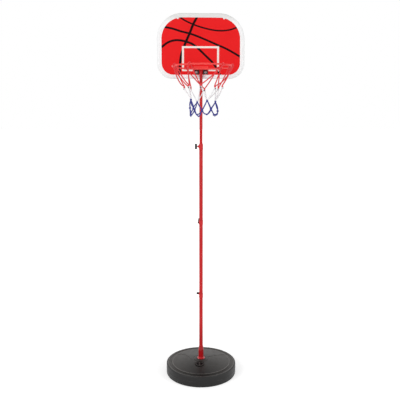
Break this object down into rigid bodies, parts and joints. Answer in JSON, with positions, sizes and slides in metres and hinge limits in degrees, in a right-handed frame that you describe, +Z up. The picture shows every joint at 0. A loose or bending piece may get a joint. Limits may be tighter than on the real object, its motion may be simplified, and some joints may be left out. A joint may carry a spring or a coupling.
{
  "type": "adjustable basketball stand",
  "caption": "Free-standing height-adjustable basketball stand: round fillable base, sectioned tube pole with hand screws, framed backboard, steel ring and funnel net.",
  "frame": {"origin": "centre of the base's flat underside, on the pole's axis", "axes": "+Z up along the pole; the board faces -Y and the ring stands out towards -Y; +X to the right of someone facing the board"},
  "size_m": [0.3652, 0.4075, 1.5433],
  "materials": {
    "red_paint": "gloss red powder coat",
    "red_collar": "satin red moulded plastic",
    "base_black": "fine-textured black blow-moulded plastic",
    "cap_black": "satin black moulded plastic",
    "knob_black": "satin black moulded plastic",
    "rubber_black": "dull black rubber",
    "zinc_steel": "bright zinc-plated steel",
    "white_frame": "satin white moulded plastic",
    "print_red": "printed red plastic sheet",
    "cord_red": "red braided cord",
    "cord_white": "white braided cord",
    "cord_blue": "blue braided cord"
  },
  "bodies": {
    "base": {"base_tank": "base_black", "pole_collar": "red_collar", "pole_lower": "red_paint", "screw_sleeve_lower": "red_paint"},
    "middle_section": {"pole_middle": "red_paint", "screw_sleeve_middle": "red_paint"},
    "upper_section": {"pole_upper": "red_paint", "screw_sleeve_upper": "red_paint"},
    "mast": {"pole_thin": "red_paint", "slide_plug": "cap_black", "rim_bracket": "red_paint", "rim_ring": "red_paint", "square_washer_left": "knob_black", "square_washer_right": "knob_black", "bolt_left": "zinc_steel", "bolt_right": "zinc_steel", "nut_left": "zinc_steel", "nut_right": "zinc_steel", "back_plate": "zinc_steel", "board_frame": "white_frame", "print_card": "print_red", "net_red": "cord_red", "net_white": "cord_white", "net_blue_upper": "cord_blue", "net_blue_lower": "cord_blue"},
    "lower_screw": {"stud_lower": "zinc_steel"},
    "lower_knob": {"knob_lower": "knob_black"},
    "middle_screw": {"stud_middle": "zinc_steel"},
    "middle_knob": {"knob_middle": "knob_black"},
    "upper_screw": {"stud_upper": "zinc_steel"},
    "upper_knob": {"knob_upper": "knob_black"},
    "cap_lift": {"cap_seal": "rubber_black"},
    "cap": {"fill_cap": "cap_black"}
  },
  "joints": [
    {"name": "middle_swivel", "type": "hinge", "parent": "base", "child": "middle_section", "pos_m": [0, 0, 0.3548], "axis": [0, 0, 1], "range_deg": [-180, 180]},
    {"name": "upper_swivel", "type": "hinge", "parent": "middle_section", "child": "upper_section", "pos_m": [0, 0, 0.6763], "axis": [0, 0, 1], "range_deg": [-180, 180]},
    {"name": "height_slide", "type": "slide", "parent": "upper_section", "child": "mast", "axis": [0, 0, 1], "range_m": [-0.24, 0.02]},
    {"name": "lower_screw_travel", "type": "slide", "parent": "base", "child": "lower_screw", "axis": [-0.342, 0.9397, 0], "range_m": [0, 0.003]},
    {"name": "lower_knob_turn", "type": "hinge", "parent": "lower_screw", "child": "lower_knob", "pos_m": [0, 0, 0.347], "axis": [-0.342, 0.9397, 0], "range_deg": [0, 1080]},
    {"name": "middle_screw_travel", "type": "slide", "parent": "middle_section", "child": "middle_screw", "axis": [-0.342, 0.9397, 0], "range_m": [0, 0.003]},
    {"name": "middle_knob_turn", "type": "hinge", "parent": "middle_screw", "child": "middle_knob", "pos_m": [0, 0, 0.6685], "axis": [-0.342, 0.9397, 0], "range_deg": [0, 1080]},
    {"name": "upper_screw_travel", "type": "slide", "parent": "upper_section", "child": "upper_screw", "axis": [-1, 0, 0], "range_m": [0, 0.003]},
    {"name": "upper_knob_turn", "type": "hinge", "parent": "upper_screw", "child": "upper_knob", "pos_m": [0, 0, 0.9915], "axis": [-1, 0, 0], "range_deg": [0, 1080]},
    {"name": "cap_rise", "type": "slide", "parent": "base", "child": "cap_lift", "axis": [0, 0, 1], "range_m": [0, 0.009]},
    {"name": "cap_turn", "type": "hinge", "parent": "cap_lift", "child": "cap", "pos_m": [-0.0085, -0.0485, 0.055], "axis": [0, 0, 1], "range_deg": [0, 1080]}
  ],
  "couplings": [
    {"joint": "lower_screw_travel", "follows": "lower_knob_turn", "m_per_rad": 0.00015915},
    {"joint": "middle_screw_travel", "follows": "middle_knob_turn", "m_per_rad": 0.00015915},
    {"joint": "upper_screw_travel", "follows": "upper_knob_turn", "m_per_rad": 0.00015915},
    {"joint": "cap_rise", "follows": "cap_turn", "m_per_rad": 0.00047746}
  ]
}
